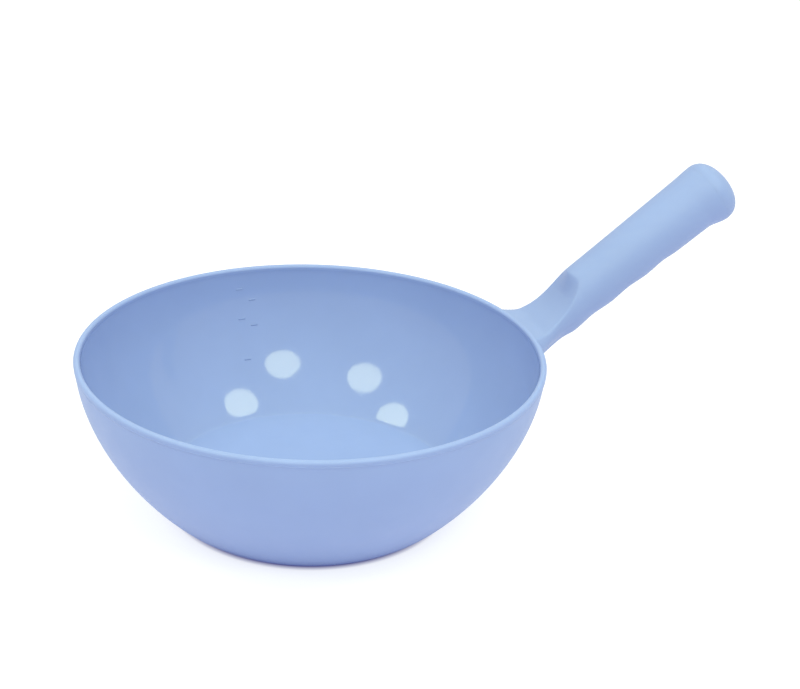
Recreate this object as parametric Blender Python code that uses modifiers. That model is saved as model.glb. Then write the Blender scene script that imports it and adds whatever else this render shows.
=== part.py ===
"""A round plastic feed scoop, moulded in one colour and standing on its flat foot.

The bowl is a turned shell with a rounded lip and raised fill marks inside. Its floor is raised on a
foot ring, with a hub and ribs inside the ring. A hollow handle leaves the rim along +X and rises at a
slant: a flared neck with a thumb rest, then a round grip with finger hollows below. A domed cap snaps
into the handle's open end.
"""

import math

import bmesh
import bpy
from mathutils import Matrix, Vector

MM = 0.001

# Bowl: the wall is a Bezier curve, pulled at each end by a share of the rim's radius.
RIM_RADIUS = 110 * MM
BOWL_HEIGHT = 77.8 * MM
BASE_RADIUS = 65.5 * MM
WALL = 2.5 * MM
WALL_SLOPE_AT_BASE = math.radians(17.4)
WALL_LEAN_AT_RIM = math.radians(4.5)
PULL_AT_BASE = 0.045
PULL_AT_RIM = 0.36
LIP_WIDTH = 3.1 * MM
LIP_HEIGHT = 3.2 * MM
LIP_STAND_OUT = 0.5 * MM
BOWL_STEPS = 72
WALL_POINTS = 13
FINE_WALL_POINTS = 200

# Floor and foot: the ribs stop just short of the ground.
FLOOR_HEIGHT = 8.5 * MM
FLOOR_THICKNESS = 2.8 * MM
FLOOR_FILLET = 1.2 * MM
FOOT_HEIGHT = 0.8 * MM
FOOT_INSET = 1.2 * MM
FOOT_WIDTH = 3 * MM
FOOT_DRAFT = 0.5 * MM
HUB_RADIUS = 9 * MM
RIB_BARS = 3
RIB_WIDTH = 2.2 * MM
RIB_LIFT = 0.6 * MM
RIB_SINK = 1 * MM

# Fill marks: depth below the rim of each mark, in two columns side by side.
MARK_WIDTH = 3.6 * MM
MARK_HEIGHT = 0.9 * MM
MARK_STAND_OUT = 0.4 * MM
MARK_COLUMNS = (
    (math.radians(91.6), (11 * MM, 26 * MM, 45 * MM)),
    (math.radians(88.0), (17 * MM, 29.5 * MM)),
)

# Handle: s runs along its axis from below the rim, n is square to the axis and points up.
HANDLE_TILT = math.radians(35)
AXIS_BELOW_RIM = 8 * MM
HANDLE_START = -15 * MM
HANDLE_END = 117.5 * MM
GRIP_RADIUS = 13.1 * MM
GRIP_TAPER = 0.019
FLARE_WIDTH = 10.5 * MM
FLARE_LENGTH = 9.5 * MM
FLARE_START = -2 * MM
FLARE_LOW_SINE = -0.5
FLARE_FULL_SINE = 0.15
ROOT_THINNING = 0.9 * MM
ROOT_START = 15 * MM
ROOT_END = 23 * MM
FINGER_PITCH = 22.1 * MM
FINGER_DEPTH = 0.8 * MM
FIRST_FINGER = 12.5 * MM
FINGER_COUNT = 4
HOLLOW_SHARPNESS = 1.5
POMMEL_LENGTH = 11 * MM
POMMEL_DROP = 2.4 * MM
TAPER_START = 34 * MM

# Thumb rest: level with the rim, then flat along the neck, then a curved ramp up to the grip.
# The ramp rises by RAMP_RISE, in 1/m, times the square of the distance along it, and is crowned across.
THUMB_FLOOR = 3.8 * MM
THUMB_STEP = 0.2 * MM
THUMB_BLEND = 1.4 * MM
RAMP_START = 14.5 * MM
RAMP_END = 44 * MM
RAMP_RISE = 13.4
CROWN_HEIGHT = 2.8 * MM
CROWN_HALF_WIDTH = 9 * MM
CROWN_START = 28 * MM
CROWN_END = 38 * MM

# The hollow inside the handle, and the socket that takes the cap.
CORE_START = 48 * MM
CORE_RADIUS_NECK = 9.2 * MM
CORE_RADIUS_END = 9.9 * MM
NECK_CORE_START = 2 * MM
NECK_CORE_DROP = 4.9 * MM
NECK_CORE_RADIUS = 4.2 * MM
NECK_CORE_GROWTH = 0.8 * MM
CORE_OVERLAP = 6 * MM
SOCKET_OVERLAP = 1 * MM
SOCKET_DEPTH = 12 * MM
SOCKET_RADIUS = 11.4 * MM
SNAP_HEIGHT = 0.6 * MM
SNAP_HALF_LENGTH = 1 * MM
SNAP_AT = 7 * MM

# End cap.
CAP_DOME = 10.5 * MM
CAP_BLUNTNESS = 0.87
CAP_WALL = 2.2 * MM
CAP_BEVEL_HEIGHT = 1 * MM
CAP_BEVEL_WIDTH = 0.6 * MM
CAP_STEPS = 32

GAP = 0.3 * MM
CUTTER_OVERRUN = 4 * MM
CORE_STEPS = 32
RING_POINTS = 48
RING_SPACING = 3.2 * MM
THUMB_CUTTER_SPACING = 1.6 * MM
CROWN_SPACING = 2.25 * MM
THUMB_CUTTER_HALF_WIDTH = 34 * MM
THUMB_CUTTER_TOP = 45 * MM
ENVELOPE_TOP = BOWL_HEIGHT + 30 * MM

PLASTIC_BLUE = (0.35, 0.45, 0.75, 1.0)


def clear_scene():
    for obj in list(bpy.context.scene.objects):
        bpy.data.objects.remove(obj, do_unlink=True)


def new_collection(name):
    collection = bpy.data.collections.new(name)
    bpy.context.scene.collection.children.link(collection)
    return collection


def plastic(name, roughness):
    material = bpy.data.materials.new(name)
    material.use_nodes = True
    shader = material.node_tree.nodes["Principled BSDF"]
    shader.inputs["Base Color"].default_value = PLASTIC_BLUE
    shader.inputs["Roughness"].default_value = roughness
    shader.inputs["Metallic"].default_value = 0.0
    material.diffuse_color = PLASTIC_BLUE
    return material


def smoothstep(value, low, high):
    share = min(max((value - low) / (high - low), 0.0), 1.0)
    return share * share * (3 - 2 * share)


def soft_max(a, b, blend):
    return (a + b + math.hypot(a - b, blend)) / 2


def bezier(start, pull_start, pull_end, end, count):
    points = []
    for step in range(count):
        t = step / (count - 1)
        u = 1 - t
        weights = (u * u * u, 3 * u * u * t, 3 * u * t * t, t * t * t)
        corners = (start, pull_start, pull_end, end)
        points.append(sum((w * c for w, c in zip(weights, corners)), Vector((0, 0))))
    return points


def arc(centre, radius_x, radius_z, start, end, count):
    """Points on part of an ellipse, between two angles in degrees."""
    points = []
    for step in range(count):
        angle = math.radians(start + (end - start) * step / (count - 1))
        along = Vector((radius_x * math.cos(angle), radius_z * math.sin(angle)))
        points.append(Vector(centre) + along)
    return points


def offset(points, distance):
    """The outline moved to its left by a distance, as seen walking along it."""
    moved = []
    for index, point in enumerate(points):
        before = points[max(index - 1, 0)]
        after = points[min(index + 1, len(points) - 1)]
        along = (after - before).normalized()
        moved.append(point + distance * Vector((-along.y, along.x)))
    return moved


def outer_wall(count):
    """The wall's outer side as (radius, height), from the edge of the base up to the lip."""
    start = Vector((BASE_RADIUS, FOOT_HEIGHT))
    slope = Vector((math.cos(WALL_SLOPE_AT_BASE), math.sin(WALL_SLOPE_AT_BASE)))
    start_pull = start + PULL_AT_BASE * RIM_RADIUS * slope
    end = Vector((RIM_RADIUS - LIP_STAND_OUT, BOWL_HEIGHT - LIP_HEIGHT))
    lean = Vector((math.sin(WALL_LEAN_AT_RIM), math.cos(WALL_LEAN_AT_RIM)))
    end_pull = end - PULL_AT_RIM * RIM_RADIUS * lean
    return bezier(start, start_pull, end_pull, end, count)


def inner_wall(count):
    return offset(outer_wall(count), WALL)


def inner_radius_at(height):
    wall = inner_wall(FINE_WALL_POINTS)
    for low, high in zip(wall, wall[1:]):
        if low.y <= height <= high.y:
            share = (height - low.y) / (high.y - low.y)
            return low.x + share * (high.x - low.x)
    raise ValueError("no wall at that height")


def floor_and_inside():
    """The floor's top and the inner wall over it, joined by a small bevel in place of a fillet."""
    bevel_top = FLOOR_HEIGHT + FLOOR_FILLET / 2
    outline = [Vector((0, FLOOR_HEIGHT))]
    outline.append(Vector((inner_radius_at(FLOOR_HEIGHT) - FLOOR_FILLET, FLOOR_HEIGHT)))
    outline.append(Vector((inner_radius_at(bevel_top), bevel_top)))
    outline += [p for p in inner_wall(WALL_POINTS) if p.y > FLOOR_HEIGHT + FLOOR_FILLET]
    return outline


def foot_and_underside():
    """The foot ring, the underside of the floor inside it and the hub at its centre."""
    ring_outside = BASE_RADIUS - FOOT_INSET
    ring_inside = ring_outside - FOOT_WIDTH
    underside = FLOOR_HEIGHT - FLOOR_THICKNESS
    outline = [(ring_outside, FOOT_HEIGHT), (ring_outside, 0), (ring_inside, 0)]
    outline += [(ring_inside - FOOT_DRAFT, underside), (HUB_RADIUS + FOOT_DRAFT, underside)]
    outline += [(HUB_RADIUS, 0), (0, 0)]
    return [Vector(point) for point in outline]


def bowl_outline():
    bead = LIP_WIDTH / 2
    lip_centre = (RIM_RADIUS - bead, BOWL_HEIGHT - bead)
    outline = floor_and_inside()
    outline += arc(lip_centre, bead, bead, 180, 0, 9)
    outline.append(Vector((RIM_RADIUS, BOWL_HEIGHT - LIP_HEIGHT + LIP_STAND_OUT)))
    outline += reversed(outer_wall(WALL_POINTS))
    outline += foot_and_underside()
    return outline


def turned(name, outline, steps, collection):
    """A solid turned about its own Z axis from an outline of (radius, height) points."""
    mesh = bpy.data.meshes.new(name)
    points = [(p[0], 0, p[1]) for p in outline]
    mesh.from_pydata(points, [(i, i + 1) for i in range(len(points) - 1)], [])
    obj = bpy.data.objects.new(name, mesh)
    collection.objects.link(obj)
    screw = obj.modifiers.new("turn", "SCREW")
    screw.steps = steps
    screw.render_steps = steps
    screw.use_merge_vertices = True
    screw.merge_threshold = 0.00001
    return obj


def boolean(obj, other, operation):
    modifier = obj.modifiers.new(f"{operation.lower()} {other.name}", "BOOLEAN")
    modifier.operation = operation
    modifier.solver = "EXACT"
    modifier.object = other
    other.hide_render = True
    other.display_type = "WIRE"


def smooth(obj, material, angle):
    """Applies the modifiers, then shades the faces smooth up to an angle between them."""
    graph = bpy.context.evaluated_depsgraph_get()
    mesh = bpy.data.meshes.new_from_object(obj.evaluated_get(graph))
    obj.modifiers.clear()
    obj.data = mesh
    mesh.materials.clear()
    mesh.materials.append(material)
    mesh.shade_smooth()
    mesh.set_sharp_from_angle(angle=math.radians(angle))


def bar(name, size, collection):
    mesh = bpy.data.meshes.new(name)
    shape = bmesh.new()
    bmesh.ops.create_cube(shape, size=1)
    bmesh.ops.scale(shape, vec=size, verts=shape.verts)
    shape.to_mesh(mesh)
    shape.free()
    obj = bpy.data.objects.new(name, mesh)
    collection.objects.link(obj)
    return obj


def fill_mark(name, azimuth, below_rim, collection):
    """A short level bar that stands out of the inner wall."""
    height = BOWL_HEIGHT - below_rim
    mark = bar(name, (WALL, MARK_WIDTH, MARK_HEIGHT), collection)
    centre = Matrix.Translation((inner_radius_at(height) - MARK_STAND_OUT + WALL / 2, 0, height))
    mark.matrix_world = Matrix.Rotation(azimuth, 4, "Z") @ centre
    return mark


def rib_bar(name, azimuth, collection):
    """Two ribs in line: a bar from one side of the foot ring through the hub to the other."""
    top = FLOOR_HEIGHT - FLOOR_THICKNESS + RIB_SINK
    half_length = BASE_RADIUS - FOOT_INSET - FOOT_WIDTH + RIB_SINK
    rib = bar(name, (2 * half_length, RIB_WIDTH, top - RIB_LIFT), collection)
    rib.matrix_world = Matrix.Rotation(azimuth, 4, "Z") @ Matrix.Translation((0, 0, (top + RIB_LIFT) / 2))
    return rib


def make_bowl(parts, cutters):
    bowl = turned("bowl", bowl_outline(), BOWL_STEPS, parts)
    for column, (azimuth, depths) in enumerate(MARK_COLUMNS):
        for row, below_rim in enumerate(depths):
            mark = fill_mark(f"mark_{column}_{row}", azimuth, below_rim, cutters)
            boolean(bowl, mark, "UNION")
    for index in range(RIB_BARS):
        boolean(bowl, rib_bar(f"rib_{index}", math.pi * index / RIB_BARS, cutters), "UNION")
    return bowl


def grip_radius(s):
    return GRIP_RADIUS + GRIP_TAPER * max(s - TAPER_START, 0)


def finger_hollow(s):
    """How deep the underside is hollowed at s: evenly spaced waves that fade out after the last one."""
    last = FIRST_FINGER + (FINGER_COUNT - 0.5) * FINGER_PITCH
    wave = 0.5 + 0.5 * math.cos(2 * math.pi * (s - FIRST_FINGER) / FINGER_PITCH)
    return FINGER_DEPTH * wave * (1 - smoothstep(s, last - FINGER_PITCH / 2, last))


def outside_radius(s, sine):
    """The handle's uncut outer radius at s, in the direction whose sine above level is given."""
    upward = smoothstep(sine, FLARE_LOW_SINE, FLARE_FULL_SINE)
    flare = FLARE_WIDTH * math.exp(-max(s, FLARE_START) / FLARE_LENGTH) * upward
    below = max(-sine, 0.0) ** HOLLOW_SHARPNESS
    pommel = POMMEL_DROP * smoothstep(s, HANDLE_END - POMMEL_LENGTH, HANDLE_END) * (1 - sine) / 2
    hollow = finger_hollow(s) + ROOT_THINNING * (1 - smoothstep(s, ROOT_START, ROOT_END))
    return grip_radius(s) + flare + pommel - hollow * below


def thumb_height(s, y):
    """The height n of the thumb rest over the axis. It starts just below the rim."""
    level = (AXIS_BELOW_RIM - s * math.sin(HANDLE_TILT)) / math.cos(HANDLE_TILT) - THUMB_STEP
    ramp = RAMP_RISE * max(s - RAMP_START, 0) ** 2
    across = max(1 - (y / CROWN_HALF_WIDTH) ** 2, 0) ** 2
    crown = CROWN_HEIGHT * across * smoothstep(s, CROWN_START, CROWN_END)
    return soft_max(level, THUMB_FLOOR, THUMB_BLEND) + ramp + crown


def ring(s):
    """Points (y, n) around the handle's uncut outside at s."""
    points = []
    for step in range(RING_POINTS):
        angle = 2 * math.pi * step / RING_POINTS
        radius = outside_radius(s, math.sin(angle))
        points.append((radius * math.cos(angle), radius * math.sin(angle)))
    return points


def evenly(start, end, spacing):
    count = round((end - start) / spacing)
    return [start + (end - start) * i / count for i in range(count + 1)]


def handle_frame():
    """The matrix that carries (s, y, n) into place."""
    start = Matrix.Translation((RIM_RADIUS, 0, BOWL_HEIGHT - AXIS_BELOW_RIM))
    return start @ Matrix.Rotation(-HANDLE_TILT, 4, "Y")


def loft(name, stations, collection):
    """A closed skin through the rings at the given stations along the handle."""
    shape = bmesh.new()
    rings = []
    for s in stations:
        rings.append([shape.verts.new((s, y, n)) for y, n in ring(s)])
    for near, far in zip(rings, rings[1:]):
        for i in range(RING_POINTS):
            j = (i + 1) % RING_POINTS
            shape.faces.new((near[i], far[i], far[j], near[j]))
    shape.faces.new(rings[0])
    shape.faces.new(list(reversed(rings[-1])))
    bmesh.ops.recalc_face_normals(shape, faces=shape.faces)
    mesh = bpy.data.meshes.new(name)
    shape.to_mesh(mesh)
    shape.free()
    obj = bpy.data.objects.new(name, mesh)
    collection.objects.link(obj)
    obj.matrix_world = handle_frame()
    return obj


def along_handle(s, n):
    """The matrix for a turned piece whose axis runs up the handle from s, at n over its axis."""
    return handle_frame() @ Matrix.Translation((s, 0, n)) @ Matrix.Rotation(math.pi / 2, 4, "Y")


def bowl_envelope(cutters):
    """The bowl with a gap around it, carried straight up, to shape the handle's root."""
    wall = offset(outer_wall(WALL_POINTS), -GAP)
    clear = RIM_RADIUS + GAP
    shoulder = BOWL_HEIGHT - LIP_HEIGHT - GAP
    outline = [Vector((0, ENVELOPE_TOP)), Vector((clear, ENVELOPE_TOP))]
    outline.append(Vector((clear, shoulder + LIP_STAND_OUT)))
    outline += [p for p in reversed(wall) if p.y < shoulder]
    outline += [Vector((0, wall[0].y))]
    return turned("bowl_envelope", outline, BOWL_STEPS, cutters)


def thumb_cutter(cutters):
    """Everything above the thumb rest: a grid on its surface, extruded up to a flat lid."""
    side = THUMB_CUTTER_HALF_WIDTH
    across = [-side] + evenly(-CROWN_HALF_WIDTH, CROWN_HALF_WIDTH, CROWN_SPACING) + [side]
    shape = bmesh.new()
    rows = []
    for s in evenly(HANDLE_START - CUTTER_OVERRUN, RAMP_END, THUMB_CUTTER_SPACING):
        rows.append([shape.verts.new((s, y, thumb_height(s, y))) for y in across])
    for near, far in zip(rows, rows[1:]):
        for i in range(len(across) - 1):
            shape.faces.new((near[i], far[i], far[i + 1], near[i + 1]))
    extruded = bmesh.ops.extrude_face_region(shape, geom=shape.faces[:])
    for element in extruded["geom"]:
        if isinstance(element, bmesh.types.BMVert):
            element.co.z = THUMB_CUTTER_TOP
    bmesh.ops.triangulate(shape, faces=shape.faces)
    bmesh.ops.recalc_face_normals(shape, faces=shape.faces)
    mesh = bpy.data.meshes.new("thumb_cutter")
    shape.to_mesh(mesh)
    shape.free()
    cutter = bpy.data.objects.new("thumb_cutter", mesh)
    cutters.objects.link(cutter)
    cutter.matrix_world = handle_frame()
    return cutter


def snap_bead(clearance):
    """The bead round the cap's skirt, as (radius over the skirt, height), widened for its groove."""
    half = SNAP_HALF_LENGTH + clearance
    upper = [(0, -SNAP_AT + half), (SNAP_HEIGHT, -SNAP_AT + half / 2)]
    lower = [(SNAP_HEIGHT, -SNAP_AT - half / 2), (0, -SNAP_AT - half)]
    return upper + lower


def socket_cutter(cutters):
    outline = [(0, CUTTER_OVERRUN), (SOCKET_RADIUS, CUTTER_OVERRUN)]
    outline += [(SOCKET_RADIUS + rise, height) for rise, height in snap_bead(GAP)]
    outline += [(SOCKET_RADIUS, -SOCKET_DEPTH), (0, -SOCKET_DEPTH)]
    cutter = turned("socket_cutter", outline, CAP_STEPS, cutters)
    cutter.matrix_world = along_handle(HANDLE_END, -POMMEL_DROP / 2)
    return cutter


def grip_core(cutters):
    length = HANDLE_END - SOCKET_DEPTH + SOCKET_OVERLAP - CORE_START
    round_end = CORE_RADIUS_NECK / 2
    outline = [(0, length), (CORE_RADIUS_END, length)]
    outline += [tuple(point) for point in arc((0, round_end), CORE_RADIUS_NECK, round_end, 0, -90, 7)]
    cutter = turned("grip_core", outline, CORE_STEPS, cutters)
    cutter.matrix_world = along_handle(CORE_START, 0)
    return cutter


def neck_core(cutters):
    length = CORE_START + CORE_OVERLAP - NECK_CORE_START
    wide = NECK_CORE_RADIUS + NECK_CORE_GROWTH
    outline = [(0, length), (wide, length)]
    round_end = arc((0, NECK_CORE_RADIUS), NECK_CORE_RADIUS, NECK_CORE_RADIUS, 0, -90, 6)
    outline += [tuple(point) for point in round_end]
    cutter = turned("neck_core", outline, CORE_STEPS, cutters)
    cutter.matrix_world = along_handle(NECK_CORE_START, -NECK_CORE_DROP)
    return cutter


def make_handle(parts, cutters):
    stations = evenly(HANDLE_START, HANDLE_END - GAP / 2, RING_SPACING)
    handle = loft("handle", stations, parts)
    boolean(handle, thumb_cutter(cutters), "DIFFERENCE")
    boolean(handle, bowl_envelope(cutters), "DIFFERENCE")
    boolean(handle, socket_cutter(cutters), "DIFFERENCE")
    boolean(handle, grip_core(cutters), "DIFFERENCE")
    boolean(handle, neck_core(cutters), "DIFFERENCE")
    return handle


def dome_curve(radius, height, count):
    """The outline of a blunt dome, from its top to its edge."""
    points = [(0, height)]
    for step in range(1, count):
        angle = math.pi / 2 * (1 - step / (count - 1))
        across = math.cos(angle) ** CAP_BLUNTNESS
        points.append((radius * across, height * math.sin(angle) ** CAP_BLUNTNESS))
    return points


def make_end_cap(parts):
    """A domed shell with a skirt. The skirt's bead snaps into the groove in the handle's socket."""
    dome = grip_radius(HANDLE_END) + POMMEL_DROP / 2
    skirt = SOCKET_RADIUS - GAP
    bottom = -SOCKET_DEPTH + 2 * GAP
    bore = skirt - CAP_WALL
    outline = dome_curve(dome, CAP_DOME, 10)
    outline += [(skirt, 0)]
    outline += [(skirt + rise, height) for rise, height in snap_bead(0)]
    outline += [(skirt, bottom + CAP_BEVEL_HEIGHT), (skirt - CAP_BEVEL_WIDTH, bottom), (bore, bottom)]
    outline += reversed(dome_curve(bore, CAP_DOME - CAP_WALL, 6))
    cap = turned("end_cap", outline, CAP_STEPS, parts)
    cap.matrix_world = along_handle(HANDLE_END + GAP / 2, -POMMEL_DROP / 2)
    return cap


def main():
    clear_scene()
    parts = new_collection("feed_scoop")
    cutters = new_collection("cutters")
    bowl = make_bowl(parts, cutters)
    handle = make_handle(parts, cutters)
    cap = make_end_cap(parts)
    smooth(bowl, plastic("bowl_plastic", 0.25), 40)
    smooth(handle, plastic("handle_plastic", 0.35), 40)
    smooth(cap, plastic("cap_plastic", 0.35), 40)


main()
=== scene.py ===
"""A plastic feed scoop in a bright studio: fine meshes and moulded-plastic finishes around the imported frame.

The frame gives the bowl's radius and height. All sizes are in metres. Along the handle, s runs up its axis
from below the rim, y is across, and n is square to the axis and points up.
"""

import math

import bmesh
import bpy
import numpy as np
from mathutils import Matrix, Vector


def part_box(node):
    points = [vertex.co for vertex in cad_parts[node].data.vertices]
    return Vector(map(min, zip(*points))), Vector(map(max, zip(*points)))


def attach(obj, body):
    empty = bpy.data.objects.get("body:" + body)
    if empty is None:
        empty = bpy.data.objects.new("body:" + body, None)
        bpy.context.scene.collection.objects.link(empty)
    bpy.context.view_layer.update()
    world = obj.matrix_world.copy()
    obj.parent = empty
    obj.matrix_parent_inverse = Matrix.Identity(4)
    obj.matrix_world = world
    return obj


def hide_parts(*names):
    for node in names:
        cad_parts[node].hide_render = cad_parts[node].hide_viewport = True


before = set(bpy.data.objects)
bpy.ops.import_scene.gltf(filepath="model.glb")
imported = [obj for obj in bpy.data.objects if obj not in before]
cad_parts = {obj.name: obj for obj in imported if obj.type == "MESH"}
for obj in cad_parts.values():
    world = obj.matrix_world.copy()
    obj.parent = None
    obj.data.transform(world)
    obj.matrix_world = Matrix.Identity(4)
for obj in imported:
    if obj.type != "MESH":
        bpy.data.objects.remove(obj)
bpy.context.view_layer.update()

MM = 0.001

# Bowl. The rim's radius and height come from the frame. The wall is a Bezier curve, pulled at each end by a
# share of the rim's radius.
RIM_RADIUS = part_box("bowl")[1].x
BOWL_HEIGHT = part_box("bowl")[1].z
BASE_RADIUS = 65.5 * MM
WALL = 2.5 * MM
WALL_SLOPE_AT_BASE = math.radians(17.4)
WALL_LEAN_AT_RIM = math.radians(4.5)
PULL_AT_BASE = 0.045
PULL_AT_RIM = 0.36
LIP_WIDTH = 3.1 * MM
LIP_HEIGHT = 3.2 * MM
LIP_STAND_OUT = 0.5 * MM

# Floor and foot: the ribs stop just short of the ground.
FLOOR_HEIGHT = 8.5 * MM
FLOOR_THICKNESS = 2.8 * MM
FLOOR_FILLET = 1.2 * MM
FOOT_HEIGHT = 0.8 * MM
FOOT_INSET = 1.2 * MM
FOOT_WIDTH = 3 * MM
FOOT_DRAFT = 0.5 * MM
HUB_RADIUS = 9 * MM
RIB_BARS = 3
RIB_WIDTH = 2.2 * MM
RIB_LIFT = 0.6 * MM
RIB_SINK = 1 * MM
SMALL_RADIUS = 0.3 * MM

# Fill marks: azimuth of each column, and the depths below the rim.
MARK_WIDTH = 3.6 * MM
MARK_HEIGHT = 0.9 * MM
MARK_STAND_OUT = 0.22 * MM
MARK_COLUMNS = (
    (math.radians(91.6), (11 * MM, 26 * MM, 45 * MM)),
    (math.radians(88.0), (17 * MM, 29.5 * MM)),
)

# Handle. Its root ends inside the bowl's wall.
HANDLE_TILT = math.radians(35)
AXIS_BELOW_RIM = 8 * MM
HANDLE_END = 117.5 * MM
GRIP_RADIUS = 13.1 * MM
GRIP_TAPER = 0.019
FLARE_WIDTH = 10.5 * MM
FLARE_LENGTH = 9.5 * MM
FLARE_START = -2 * MM
FLARE_LOW_SINE = -0.5
FLARE_FULL_SINE = 0.15
ROOT_THINNING = 0.9 * MM
ROOT_START = 15 * MM
ROOT_END = 23 * MM
ROOT_SINK = 1.25 * MM
ROOT_LOWEST = -22 * MM
ROOT_HIGHEST = 14 * MM
ROOT_ZONE_END = 16 * MM
FINGER_PITCH = 22.1 * MM
FINGER_DEPTH = 0.8 * MM
FIRST_FINGER = 12.5 * MM
FINGER_COUNT = 4
HOLLOW_SHARPNESS = 1.5
POMMEL_LENGTH = 11 * MM
POMMEL_DROP = 2.4 * MM
TAPER_START = 34 * MM

# Thumb rest: level with the rim, then flat along the neck, then a curved ramp up to the grip.
# The ramp rises by RAMP_RISE, in 1/m, times the square of the distance along it, and is crowned across.
THUMB_FLOOR = 3.8 * MM
THUMB_STEP = 0.2 * MM
THUMB_BLEND = 1.4 * MM
RAMP_START = 14.5 * MM
RAMP_END = 44 * MM
RAMP_RISE = 13.4
CROWN_HEIGHT = 2.8 * MM
CROWN_HALF_WIDTH = 9 * MM
CROWN_START = 28 * MM
CROWN_END = 38 * MM
EDGE_ROUNDING = 0.5 * MM

# Socket and end cap.
SOCKET_DEPTH = 12 * MM
SOCKET_RADIUS = 11.4 * MM
MOUTH_SHARE = 0.99
MOUTH_EDGE = 0.4 * MM
CAP_DOME = 10.5 * MM
CAP_BLUNTNESS = 0.87
CAP_WALL = 2.2 * MM
CAP_CLEARANCE = 0.3 * MM
CAP_END_GAP = 0.6 * MM
CAP_BEVEL_HEIGHT = 1 * MM
CAP_BEVEL_WIDTH = 0.6 * MM
SEAM = 0.03 * MM

# How finely the pieces are meshed.
BOWL_STEPS = 288
WALL_POINTS = 90
FINE_WALL_POINTS = 400
FLOOR_POINTS = 24
LIP_POINTS = 21
BEVEL_SEGMENTS = 3
RING_POINTS = 216
ROOT_RINGS = 48
FINE_SPACING = 0.45 * MM
COARSE_SPACING = 0.9 * MM
CAP_STEPS = 160
DOME_POINTS = 64
INNER_DOME_POINTS = 24
HALVINGS = 32
MERGE_DISTANCE = 0.01 * MM
TURNED_SHARP_ANGLE = 50
BUILT_SHARP_ANGLE = 60

# Plastic. The noise scales are in waves per metre, roughly, and a range of roughness is (lowest, highest).
PERIWINKLE = (0.24, 0.33, 0.63)
HANDLE_SHADE = 0.93
MOTTLE_SCALE = 28
MOTTLE_DETAIL = 3
MOTTLE_STRENGTH = 0.02
STREAK_SCALE = 90
STREAK_DETAIL = 4
GRAIN_SCALE = 1400
GRAIN_DETAIL = 2
GRAIN_HEIGHT = 0.004 * MM
NOISE_ROUGHNESS = 0.55
BOWL_SATIN = (0.42, 0.5)
BOWL_GLOSS = (0.05, 0.08)
HANDLE_SATIN = (0.45, 0.55)
REFRACTION = 1.49
SPECULAR = 0.4
SUBSURFACE_WEIGHT = 0.12
SUBSURFACE_COLOURS = (0.6, 0.8, 1.0)
SUBSURFACE_DEPTH = 2 * MM
INSIDE_BIAS = 0.01

# Camera. It aims at a point right of the middle of the base and above it, as the camera sees them.
CAMERA_AZIMUTH = math.radians(-113)
CAMERA_ELEVATION = math.radians(24.31)
CAMERA_ROLL = math.radians(2.51)
CAMERA_DISTANCE = 7.524 * RIM_RADIUS
AIM_RIGHT = 0.403 * RIM_RADIUS
AIM_UP = 0.669 * RIM_RADIUS
CAMERA_LENS = 76.5
CAMERA_CLIP = 0.05

# Light: an even dome, with a wide key overhead and four elliptical lamps that are aimed into the bowl.
# A lamp's place is its azimuth round from +X, its elevation and its roll, in degrees.
LIGHT_TARGET = (0, 0, 0.02)
LAMP_PLACES = ((-88, 46.3, -5), (-152.5, 47.7, 13), (-42.3, 52.4, -22), (167.5, 50.4, 27))
LAMP_DISTANCE = 1.3
LAMP_WIDTH = 0.42
LAMP_HEIGHT = 0.27
LAMP_POWER = 2.3
LAMP_COLOUR = (0.92, 1.0, 0.6)
KEY_PLACE = (0.1, -0.2, 2)
KEY_SIZE = 2.6
KEY_POWER = 33
KEY_COLOUR = (0.97, 1.0, 0.68)
DOME_LIGHT = (0.8, 0.776, 0.76)
BACKDROP = (1.0, 1.0, 1.0)

# The light table under the scoop. Between each start and end, out from the bowl's axis, its glow comes up:
# the painted-shadow pair makes the painted contact shadow that the camera sees, and the shade pair lights the
# scoop.
TABLE_SIZE = 60
TABLE_COLOUR = (0.3, 0.3, 0.3)
TABLE_ROUGHNESS = 0.9
TABLE_SPECULAR = 0.1
TABLE_GLOW = 0.82
TABLE_GLOW_COLOUR = (0.93, 0.95, 1.0)
# Painted shadow: the dark navy that the table glows round the foot, which the camera sees as a contact shadow.
PAINTED_SHADOW_COLOUR = (0.04, 0.04, 0.22)
PAINTED_SHADOW_START = 64.5 * MM
PAINTED_SHADOW_END = 68.5 * MM
SHADE_START = 66 * MM
SHADE_END = 86 * MM


def smoothstep(value, low, high):
    share = np.clip((value - low) / (high - low), 0, 1)
    return share * share * (3 - 2 * share)


def soft_max(a, b, blend):
    """The larger of two values, with a rounded change from one to the other."""
    return (a + b + np.hypot(a - b, blend)) / 2


def bezier(start, pull_start, pull_end, end, count):
    """Points along a cubic curve."""
    t = np.linspace(0, 1, count)[:, None]
    u = 1 - t
    return u**3 * start + 3 * u**2 * t * pull_start + 3 * u * t**2 * pull_end + t**3 * end


def arc(centre, radius, start, end, count):
    """Points on part of a circle, between two angles in degrees."""
    angles = np.radians(np.linspace(start, end, count))
    return np.stack([centre[0] + radius * np.cos(angles), centre[1] + radius * np.sin(angles)], 1)


def offset(points, distance):
    """The outline moved to its left by a distance, as seen walking along it."""
    along = np.gradient(points, axis=0)
    along /= np.linalg.norm(along, axis=1)[:, None]
    return points + distance * np.stack([-along[:, 1], along[:, 0]], 1)


def rounded(corner, before, after, radius, count=6):
    """A corner of an outline, replaced by a small curve that starts and ends at the radius from it."""
    corner, before, after = (np.array(p, float) for p in (corner, before, after))
    start = corner + radius * (before - corner) / np.linalg.norm(before - corner)
    end = corner + radius * (after - corner) / np.linalg.norm(after - corner)
    t = np.linspace(0, 1, count)[:, None]
    return (1 - t) ** 2 * start + 2 * t * (1 - t) * corner + t**2 * end


# Bowl ------------------------------------------------------------------------------------------------------


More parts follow.
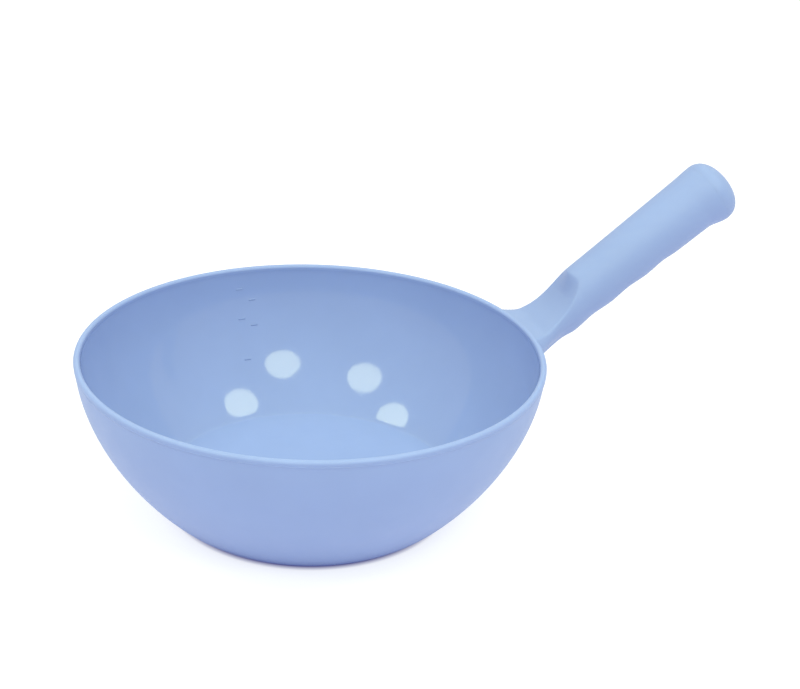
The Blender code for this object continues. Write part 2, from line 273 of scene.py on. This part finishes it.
def outer_wall(count):
    """The wall's outer side as (radius, height), from the edge of the base up to the lip."""
    start = np.array([BASE_RADIUS, FOOT_HEIGHT])
    slope = np.array([math.cos(WALL_SLOPE_AT_BASE), math.sin(WALL_SLOPE_AT_BASE)])
    start_pull = start + PULL_AT_BASE * RIM_RADIUS * slope
    end = np.array([RIM_RADIUS - LIP_STAND_OUT, BOWL_HEIGHT - LIP_HEIGHT])
    lean = np.array([math.sin(WALL_LEAN_AT_RIM), math.cos(WALL_LEAN_AT_RIM)])
    end_pull = end - PULL_AT_RIM * RIM_RADIUS * lean
    return bezier(start, start_pull, end_pull, end, count)


def inner_wall(count):
    return offset(outer_wall(count), WALL)


def radius_at(height, wall):
    return np.interp(height, wall[:, 1], wall[:, 0])


def cornered(corners, radius):
    """An outline through a list of points, with every corner but the first and last rounded."""
    pieces = [corners[:1]]
    for before, corner, after in zip(corners, corners[1:], corners[2:]):
        pieces.append(rounded(corner, before, after, radius))
    return np.concatenate(pieces + [corners[-1:]])


def floor_and_inside():
    """The floor's top, the fillet round its edge and the inner wall."""
    wall = inner_wall(WALL_POINTS)
    above = wall[wall[:, 1] > FLOOR_HEIGHT + FLOOR_FILLET]
    corner = (radius_at(FLOOR_HEIGHT, wall), FLOOR_HEIGHT)
    floor = np.linspace(0, corner[0] - 2 * FLOOR_FILLET, FLOOR_POINTS)
    return np.concatenate([
        np.stack([floor, np.full_like(floor, FLOOR_HEIGHT)], 1),
        rounded(corner, (0, FLOOR_HEIGHT), above[0], FLOOR_FILLET),
        above,
    ])


def foot_and_underside():
    """The foot ring, the underside of the floor inside it and the hub at its centre."""
    ring_outside = BASE_RADIUS - FOOT_INSET
    ring_inside = ring_outside - FOOT_WIDTH
    underside = FLOOR_HEIGHT - FLOOR_THICKNESS
    corners = [(BASE_RADIUS, FOOT_HEIGHT), (ring_outside, FOOT_HEIGHT), (ring_outside, 0), (ring_inside, 0)]
    corners += [(ring_inside - FOOT_DRAFT, underside), (HUB_RADIUS + FOOT_DRAFT, underside)]
    corners += [(HUB_RADIUS, 0), (0, 0)]
    return cornered(corners, SMALL_RADIUS)[1:]


def bowl_outline():
    outside = outer_wall(WALL_POINTS)
    bead = LIP_WIDTH / 2
    lip_centre = (RIM_RADIUS - bead, BOWL_HEIGHT - bead)
    lip_foot = (RIM_RADIUS, BOWL_HEIGHT - LIP_HEIGHT + LIP_STAND_OUT)
    return np.concatenate([
        floor_and_inside(),
        arc(lip_centre, bead, 180, 0, LIP_POINTS),
        rounded(lip_foot, lip_centre, outside[-1], SMALL_RADIUS),
        outside[::-1],
        foot_and_underside(),
    ])


def turned(name, outline, steps):
    """A solid turned about its own Z axis from an outline of (radius, height) points."""
    mesh = bpy.data.meshes.new(name)
    points = [(radius, 0, height) for radius, height in outline]
    mesh.from_pydata(points, [(i, i + 1) for i in range(len(points) - 1)], [])
    draft = bpy.data.objects.new(name, mesh)
    bpy.context.scene.collection.objects.link(draft)
    screw = draft.modifiers.new("turn", "SCREW")
    screw.steps = steps
    screw.render_steps = steps
    screw.use_merge_vertices = True
    screw.merge_threshold = MERGE_DISTANCE
    graph = bpy.context.evaluated_depsgraph_get()
    draft.data = bpy.data.meshes.new_from_object(draft.evaluated_get(graph))
    draft.modifiers.clear()
    return draft


def smooth(obj, angle):
    """Smooth shading, but for edges sharper than an angle in degrees."""
    obj.data.shade_smooth()
    obj.data.set_sharp_from_angle(angle=math.radians(angle))


def make_bowl():
    bowl = turned("bowl_shell", bowl_outline(), BOWL_STEPS)
    smooth(bowl, TURNED_SHARP_ANGLE)
    return bowl


def rounded_bars(name, bars):
    """One object made of bars with rounded edges, each given as its place and its size."""
    shape = bmesh.new()
    for place, size in bars:
        bmesh.ops.create_cube(shape, size=1, matrix=place @ Matrix.Diagonal((*size, 1)))
    mesh = bpy.data.meshes.new(name)
    shape.to_mesh(mesh)
    shape.free()
    obj = bpy.data.objects.new(name, mesh)
    bpy.context.scene.collection.objects.link(obj)
    bevel = obj.modifiers.new("round", "BEVEL")
    bevel.width = SMALL_RADIUS
    bevel.segments = BEVEL_SEGMENTS
    smooth(obj, BUILT_SHARP_ANGLE)
    return obj


def make_fill_marks():
    """Five short level bars with rounded edges, sunk into the inner wall."""
    wall = inner_wall(WALL_POINTS)
    size = (2 * MARK_STAND_OUT, MARK_WIDTH, MARK_HEIGHT)
    bars = []
    for azimuth, depths in MARK_COLUMNS:
        for depth in depths:
            height = BOWL_HEIGHT - depth
            place = Matrix.Translation((radius_at(height, wall), 0, height))
            bars.append((Matrix.Rotation(azimuth, 4, "Z") @ place, size))
    return rounded_bars("fill_marks", bars)


def make_floor_ribs():
    """Three bars under the floor, from one side of the foot ring through the hub to the other."""
    top = FLOOR_HEIGHT - FLOOR_THICKNESS + RIB_SINK
    half_length = BASE_RADIUS - FOOT_INSET - FOOT_WIDTH + RIB_SINK
    place = Matrix.Translation((0, 0, (top + RIB_LIFT) / 2))
    size = (2 * half_length, RIB_WIDTH, top - RIB_LIFT)
    turns = [Matrix.Rotation(math.pi * index / RIB_BARS, 4, "Z") for index in range(RIB_BARS)]
    return rounded_bars("floor_ribs", [(turn @ place, size) for turn in turns])


# Handle ----------------------------------------------------------------------------------------------------


def grip_radius(s):
    return GRIP_RADIUS + GRIP_TAPER * np.maximum(s - TAPER_START, 0)


def finger_hollow(s):
    """How deep the underside is hollowed at s: evenly spaced waves that fade out after the last one."""
    last = FIRST_FINGER + (FINGER_COUNT - 0.5) * FINGER_PITCH
    wave = 0.5 + 0.5 * np.cos(2 * math.pi * (s - FIRST_FINGER) / FINGER_PITCH)
    return FINGER_DEPTH * wave * (1 - smoothstep(s, last - FINGER_PITCH / 2, last))


def outside_radius(s, sine):
    """The handle's uncut outer radius at s, in the direction whose sine above level is given."""
    upward = smoothstep(sine, FLARE_LOW_SINE, FLARE_FULL_SINE)
    flare = FLARE_WIDTH * np.exp(-np.maximum(s, FLARE_START) / FLARE_LENGTH) * upward
    below = np.maximum(-sine, 0) ** HOLLOW_SHARPNESS
    pommel = POMMEL_DROP * smoothstep(s, HANDLE_END - POMMEL_LENGTH, HANDLE_END) * (1 - sine) / 2
    hollow = finger_hollow(s) + ROOT_THINNING * (1 - smoothstep(s, ROOT_START, ROOT_END))
    return grip_radius(s) + flare + pommel - hollow * below


def thumb_height(s, y):
    """The height n of the thumb rest over the axis. It starts just below the rim."""
    level = (AXIS_BELOW_RIM - s * math.sin(HANDLE_TILT)) / math.cos(HANDLE_TILT) - THUMB_STEP
    ramp = RAMP_RISE * np.maximum(s - RAMP_START, 0) ** 2
    across = np.maximum(1 - (y / CROWN_HALF_WIDTH) ** 2, 0) ** 2
    crown = CROWN_HEIGHT * across * smoothstep(s, CROWN_START, CROWN_END)
    return soft_max(level, THUMB_FLOOR, THUMB_BLEND) + ramp + crown


def skin(s, angle):
    """Points (s, y, n) on the skin: round outside, cut by the thumb rest, with a rounded edge between."""
    cosine = np.cos(angle)
    sine = np.sin(angle)
    outside = outside_radius(s, sine)
    low = np.zeros_like(outside)
    high = outside
    for _ in range(HALVINGS):
        radius = (low + high) / 2
        over_top = radius * sine - thumb_height(s, radius * cosine)
        beyond = soft_max(radius - outside, over_top, EDGE_ROUNDING) > 0
        high = np.where(beyond, radius, high)
        low = np.where(beyond, low, radius)
    return np.stack([s, low * cosine, low * sine], -1)


def handle_matrix():
    """The matrix that carries (s, y, n) into place."""
    start = Matrix.Translation((RIM_RADIUS, 0, BOWL_HEIGHT - AXIS_BELOW_RIM))
    return start @ Matrix.Rotation(-HANDLE_TILT, 4, "Y")


def in_place(points):
    matrix = np.array(handle_matrix())
    return points @ matrix[:3, :3].T + matrix[:3, 3]


def sunk_radius(height):
    """The radius of the surface inside the bowl's wall where the handle's root ends."""
    return radius_at(height, outer_wall(FINE_WALL_POINTS)) - ROOT_SINK


def root_stations(angle):
    """For each direction round the handle, the s at which its skin sinks into the bowl's wall."""
    low = np.full_like(angle, ROOT_LOWEST)
    high = np.full_like(angle, ROOT_HIGHEST)
    for _ in range(HALVINGS):
        s = (low + high) / 2
        points = in_place(skin(s, angle))
        outside = np.hypot(points[:, 0], points[:, 1]) > sunk_radius(points[:, 2])
        high = np.where(outside, s, high)
        low = np.where(outside, low, s)
    return low


def evenly(start, end, spacing):
    return np.linspace(start, end, round((end - start) / spacing) + 1)


def root_cap(ring, count=6):
    """Rings that close the root inside the wall, following the wall's curve, and the middle point."""
    middle = ring.mean(axis=0)
    rings = []
    for share in np.linspace(1, 0, count + 1)[1:]:
        flat = middle + share * (ring - middle)
        radius = sunk_radius(flat[:, 2])
        x = np.sqrt(radius**2 - flat[:, 1] ** 2)
        rings.append(np.stack([x, flat[:, 1], flat[:, 2]], 1))
    return rings[:-1], rings[-1][0]


def socket_rings(angle):
    """Rings from the rim of the open end into the socket, and the middle of its floor."""
    end = HANDLE_END - SEAM / 2
    bottom = end - SOCKET_DEPTH
    drop = -POMMEL_DROP / 2
    across = SOCKET_RADIUS * np.cos(angle)
    up = SOCKET_RADIUS * np.sin(angle) + drop
    rings = [skin(np.full_like(angle, end), angle) * np.array([1, MOUTH_SHARE, MOUTH_SHARE])]
    for s in (end, end - MOUTH_EDGE, bottom):
        rings.append(np.stack([np.full_like(angle, s), across, up], 1))
    middle = in_place(np.array([bottom, 0, drop]))
    return [in_place(ring) for ring in rings], middle


def skinned(name, rings, first_middle, last_middle):
    """A closed mesh through a list of equal rings, with a point to close each end."""
    count = len(rings[0])
    points = np.concatenate(rings + [[first_middle], [last_middle]])
    near = np.arange(count)
    far = np.roll(near, -1)
    faces = []
    for index in range(len(rings) - 1):
        a = index * count
        b = a + count
        faces += np.stack([a + near, b + near, b + far, a + far], 1).tolist()
    first = len(rings) * count
    last = (len(rings) - 1) * count
    faces += [(first, i, j) for i, j in zip(near.tolist(), far.tolist())]
    faces += [(first + 1, last + j, last + i) for i, j in zip(near.tolist(), far.tolist())]
    mesh = bpy.data.meshes.new(name)
    mesh.from_pydata(points.tolist(), [], faces)
    obj = bpy.data.objects.new(name, mesh)
    bpy.context.scene.collection.objects.link(obj)
    shape = bmesh.new()
    shape.from_mesh(mesh)
    bmesh.ops.recalc_face_normals(shape, faces=shape.faces)
    shape.to_mesh(mesh)
    shape.free()
    return obj


def make_handle():
    angle = np.linspace(0, 2 * math.pi, RING_POINTS, endpoint=False)
    root = root_stations(angle)
    rings = []
    for share in np.linspace(0, 1, ROOT_RINGS):
        rings.append(in_place(skin(root + share * (ROOT_ZONE_END - root), angle)))
    stations = np.concatenate([
        evenly(ROOT_ZONE_END, RAMP_END, FINE_SPACING)[1:],
        evenly(RAMP_END, HANDLE_END - SEAM / 2, COARSE_SPACING)[1:],
    ])
    for s in stations:
        rings.append(in_place(skin(np.full_like(angle, s), angle)))
    cap, root_middle = root_cap(rings[0])
    socket, socket_middle = socket_rings(angle)
    handle = skinned("handle_grip", cap[::-1] + rings + socket, root_middle, socket_middle)
    smooth(handle, BUILT_SHARP_ANGLE)
    return handle


def dome_curve(radius, height, count):
    """The outline of a blunt dome, from its top to its edge."""
    angles = np.linspace(math.pi / 2, 0, count)
    across = np.maximum(np.cos(angles), 0) ** CAP_BLUNTNESS
    return np.stack([radius * across, height * np.sin(angles) ** CAP_BLUNTNESS], 1)


def make_end_cap():
    dome = float(grip_radius(HANDLE_END)) + POMMEL_DROP / 2
    skirt = SOCKET_RADIUS - CAP_CLEARANCE
    bottom = -SOCKET_DEPTH + CAP_END_GAP
    bore = skirt - CAP_WALL
    outline = np.concatenate([
        dome_curve(dome, CAP_DOME, DOME_POINTS),
        [(skirt, 0), (skirt, bottom + CAP_BEVEL_HEIGHT), (skirt - CAP_BEVEL_WIDTH, bottom), (bore, bottom)],
        dome_curve(bore, CAP_DOME - CAP_WALL, INNER_DOME_POINTS)[::-1],
    ])
    outline[0, 0] = 0
    outline[-1, 0] = 0
    cap = turned("cap_dome", outline, CAP_STEPS)
    seat = Matrix.Translation((HANDLE_END + SEAM / 2, 0, -POMMEL_DROP / 2))
    cap.data.transform(handle_matrix() @ seat @ Matrix.Rotation(math.pi / 2, 4, "Y"))
    smooth(cap, TURNED_SHARP_ANGLE)
    return cap


# Materials -------------------------------------------------------------------------------------------------


def node(tree, kind, **values):
    """A new node. Each value is a property of the node or, with _ for a space, the name of an input."""
    made = tree.nodes.new(kind)
    for name, value in values.items():
        if hasattr(made, name):
            setattr(made, name, value)
        else:
            made.inputs[name.replace("_", " ")].default_value = value
    return made


def grain(tree, coordinates, scale, detail):
    noise = node(tree, "ShaderNodeTexNoise", Scale=scale, Detail=detail, Roughness=NOISE_ROUGHNESS)
    tree.links.new(coordinates, noise.inputs["Vector"])
    return noise.outputs["Fac"]


def ranged(tree, value, low, high, from_low=0.3, from_high=0.7):
    """A value stretched from one range to another, by default from the range that holds most of a noise."""
    spread = node(tree, "ShaderNodeMapRange")
    spread.inputs["From Min"].default_value = from_low
    spread.inputs["From Max"].default_value = from_high
    spread.inputs["To Min"].default_value = low
    spread.inputs["To Max"].default_value = high
    tree.links.new(value, spread.inputs["Value"])
    return spread.outputs["Result"]


def mixed(tree, factor, low, high):
    """A value, or a colour, between two others. Each is a number, a colour or an output."""
    mix = tree.nodes.new("ShaderNodeMix")
    colours = isinstance(low, tuple)
    mix.data_type = "RGBA" if colours or getattr(low, "type", "") == "RGBA" else "FLOAT"
    sockets = [i for i in mix.inputs if i.enabled]
    for socket, value in zip(sockets, (factor, low, high)):
        if isinstance(value, bpy.types.NodeSocket):
            tree.links.new(value, socket)
        else:
            socket.default_value = value
    return [o for o in mix.outputs if o.enabled][0]


def inside_mask(tree, place, normal):
    """1 where the surface faces the bowl's axis or up, below the lip, and 0 elsewhere."""
    flat = node(tree, "ShaderNodeVectorMath", operation="MULTIPLY_ADD")
    flat.inputs[1].default_value = (1, 1, 0)
    flat.inputs[2].default_value = (0, 0, -INSIDE_BIAS)
    tree.links.new(place, flat.inputs[0])
    dot = node(tree, "ShaderNodeVectorMath", operation="DOT_PRODUCT")
    tree.links.new(flat.outputs["Vector"], dot.inputs[0])
    tree.links.new(normal, dot.inputs[1])
    inside = node(tree, "ShaderNodeMath", operation="LESS_THAN")
    inside.inputs[1].default_value = 0
    tree.links.new(dot.outputs["Value"], inside.inputs[0])
    split = tree.nodes.new("ShaderNodeSeparateXYZ")
    tree.links.new(place, split.inputs[0])
    below_lip = ranged(tree, split.outputs["Z"], 1, 0, BOWL_HEIGHT - LIP_HEIGHT, BOWL_HEIGHT - LIP_WIDTH / 2)
    both = node(tree, "ShaderNodeMath", operation="MULTIPLY")
    tree.links.new(inside.outputs["Value"], both.inputs[0])
    tree.links.new(below_lip, both.inputs[1])
    return both.outputs["Value"]


def plastic(name, shade, satin, gloss_inside=None):
    """Moulded polypropylene: slight flow mottling, fine grain and a little light passing through.

    shade darkens the colour. satin and gloss_inside are ranges of roughness.
    """
    material = bpy.data.materials.new(name)
    material.use_nodes = True
    tree = material.node_tree
    shader = tree.nodes["Principled BSDF"]
    geometry = tree.nodes.new("ShaderNodeNewGeometry")
    place = geometry.outputs["Position"]
    mottle = ranged(tree, grain(tree, place, MOTTLE_SCALE, MOTTLE_DETAIL), 0, 1)
    pale = (*[c * shade * (1 + MOTTLE_STRENGTH) for c in PERIWINKLE], 1)
    deep = (*[c * shade * (1 - MOTTLE_STRENGTH) for c in PERIWINKLE], 1)
    colour = mixed(tree, mottle, deep, pale)
    tree.links.new(colour, shader.inputs["Base Color"])
    streaks = grain(tree, place, STREAK_SCALE, STREAK_DETAIL)
    roughness = ranged(tree, streaks, *satin)
    if gloss_inside:
        inside = inside_mask(tree, place, geometry.outputs["Normal"])
        roughness = mixed(tree, inside, roughness, ranged(tree, streaks, *gloss_inside))
    tree.links.new(roughness, shader.inputs["Roughness"])
    bump = node(tree, "ShaderNodeBump", Strength=1.0, Distance=GRAIN_HEIGHT)
    tree.links.new(grain(tree, place, GRAIN_SCALE, GRAIN_DETAIL), bump.inputs["Height"])
    tree.links.new(bump.outputs["Normal"], shader.inputs["Normal"])
    shader.inputs["IOR"].default_value = REFRACTION
    shader.inputs["Specular IOR Level"].default_value = SPECULAR
    shader.inputs["Subsurface Weight"].default_value = SUBSURFACE_WEIGHT
    shader.inputs["Subsurface Radius"].default_value = SUBSURFACE_COLOURS
    shader.inputs["Subsurface Scale"].default_value = SUBSURFACE_DEPTH
    return material


# Stage -----------------------------------------------------------------------------------------------------


def make_light_table():
    """A pale light table. Its glow dims round the foot, close in for the camera as a painted contact shadow,
    wider for the scoop.
    """
    bpy.ops.mesh.primitive_plane_add(size=TABLE_SIZE)
    floor = bpy.context.object
    floor.name = "floor"
    material = bpy.data.materials.new("pale_floor")
    material.use_nodes = True
    tree = material.node_tree
    shader = tree.nodes["Principled BSDF"]
    shader.inputs["Base Color"].default_value = (*TABLE_COLOUR, 1)
    shader.inputs["Roughness"].default_value = TABLE_ROUGHNESS
    shader.inputs["Specular IOR Level"].default_value = TABLE_SPECULAR
    shader.inputs["Emission Strength"].default_value = TABLE_GLOW
    geometry = tree.nodes.new("ShaderNodeNewGeometry")
    distance = node(tree, "ShaderNodeVectorMath", operation="LENGTH")
    tree.links.new(geometry.outputs["Position"], distance.inputs[0])
    shaded = ranged(tree, distance.outputs["Value"], 0, 1, SHADE_START, SHADE_END)
    # Painted shadow for the camera: the glow fades to dark navy close round the foot.
    painted_shadow_mask = ranged(tree, distance.outputs["Value"], 0, 1, PAINTED_SHADOW_START, PAINTED_SHADOW_END)
    rays = tree.nodes.new("ShaderNodeLightPath")
    glow = mixed(tree, rays.outputs["Is Camera Ray"], shaded, painted_shadow_mask)
    # Where the glow is low the table glows dark navy: painted shadow to the camera, a dim light to the scoop.
    colour = mixed(tree, glow, (*PAINTED_SHADOW_COLOUR, 1), (*TABLE_GLOW_COLOUR, 1))
    tree.links.new(colour, shader.inputs["Emission Color"])
    floor.data.materials.append(material)


def direction(azimuth, elevation):
    """A unit vector from an azimuth round from +X and an elevation."""
    level = math.cos(elevation)
    return Vector((level * math.cos(azimuth), level * math.sin(azimuth), math.sin(elevation)))


def area_light(name, location, target, roll, width, height, power, colour):
    """An elliptical lamp aimed at a target and rolled about its own axis."""
    light = bpy.data.lights.new(name, "AREA")
    light.shape = "ELLIPSE"
    light.size = width
    light.size_y = height
    light.energy = power
    light.color = colour
    obj = bpy.data.objects.new(name, light)
    obj.location = location
    aimed = (target - location).to_track_quat("-Z", "Y").to_matrix()
    obj.rotation_euler = (aimed @ Matrix.Rotation(roll, 3, "Z")).to_euler()
    bpy.context.scene.collection.objects.link(obj)
    return obj


def make_dome():
    """An even dome of light, which the camera sees as a white backdrop."""
    world = bpy.data.worlds.new("studio")
    bpy.context.scene.world = world
    world.use_nodes = True
    tree = world.node_tree
    rays = tree.nodes.new("ShaderNodeLightPath")
    colour = mixed(tree, rays.outputs["Is Camera Ray"], (*DOME_LIGHT, 1), (*BACKDROP, 1))
    tree.links.new(colour, tree.nodes["Background"].inputs["Color"])


def make_lights():
    """The lamps, whose reflections show in the bowl, and the key, which is left out of reflections."""
    target = Vector(LIGHT_TARGET)
    for index, place in enumerate(LAMP_PLACES):
        azimuth, elevation, roll = map(math.radians, place)
        location = target + LAMP_DISTANCE * direction(azimuth, elevation)
        area_light(f"lamp_{index}", location, target, roll, LAMP_WIDTH, LAMP_HEIGHT, LAMP_POWER, LAMP_COLOUR)
    key = area_light("key", Vector(KEY_PLACE), target, 0, KEY_SIZE, KEY_SIZE, KEY_POWER, KEY_COLOUR)
    key.visible_glossy = False


def make_camera():
    toward = direction(CAMERA_AZIMUTH, CAMERA_ELEVATION)
    turn = toward.to_track_quat("Z", "Y").to_matrix() @ Matrix.Rotation(CAMERA_ROLL, 3, "Z")
    right = turn.col[0]
    up = turn.col[1]
    camera = bpy.data.objects.new("camera", bpy.data.cameras.new("camera"))
    camera.data.lens = CAMERA_LENS
    camera.data.clip_start = CAMERA_CLIP
    camera.location = AIM_RIGHT * right + AIM_UP * up + CAMERA_DISTANCE * toward
    camera.rotation_euler = turn.to_euler()
    bpy.context.scene.collection.objects.link(camera)
    bpy.context.scene.camera = camera


def dress(piece, node_name, material):
    """Puts a material on a piece, fixes it to the frame and hides the frame's part that it stands for."""
    piece.data.materials.clear()
    piece.data.materials.append(material)
    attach(piece, "root")
    if node_name:
        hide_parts(node_name)


def main():
    bowl_plastic = plastic("bowl_plastic", 1, BOWL_SATIN, BOWL_GLOSS)
    handle_plastic = plastic("handle_plastic", HANDLE_SHADE, HANDLE_SATIN)
    dress(make_bowl(), "bowl", bowl_plastic)
    dress(make_fill_marks(), None, bowl_plastic)
    dress(make_floor_ribs(), None, bowl_plastic)
    dress(make_handle(), "handle", handle_plastic)
    dress(make_end_cap(), "end_cap", handle_plastic)
    make_light_table()
    make_dome()
    make_lights()
    make_camera()
    bpy.context.scene.view_settings.view_transform = "Standard"


main()
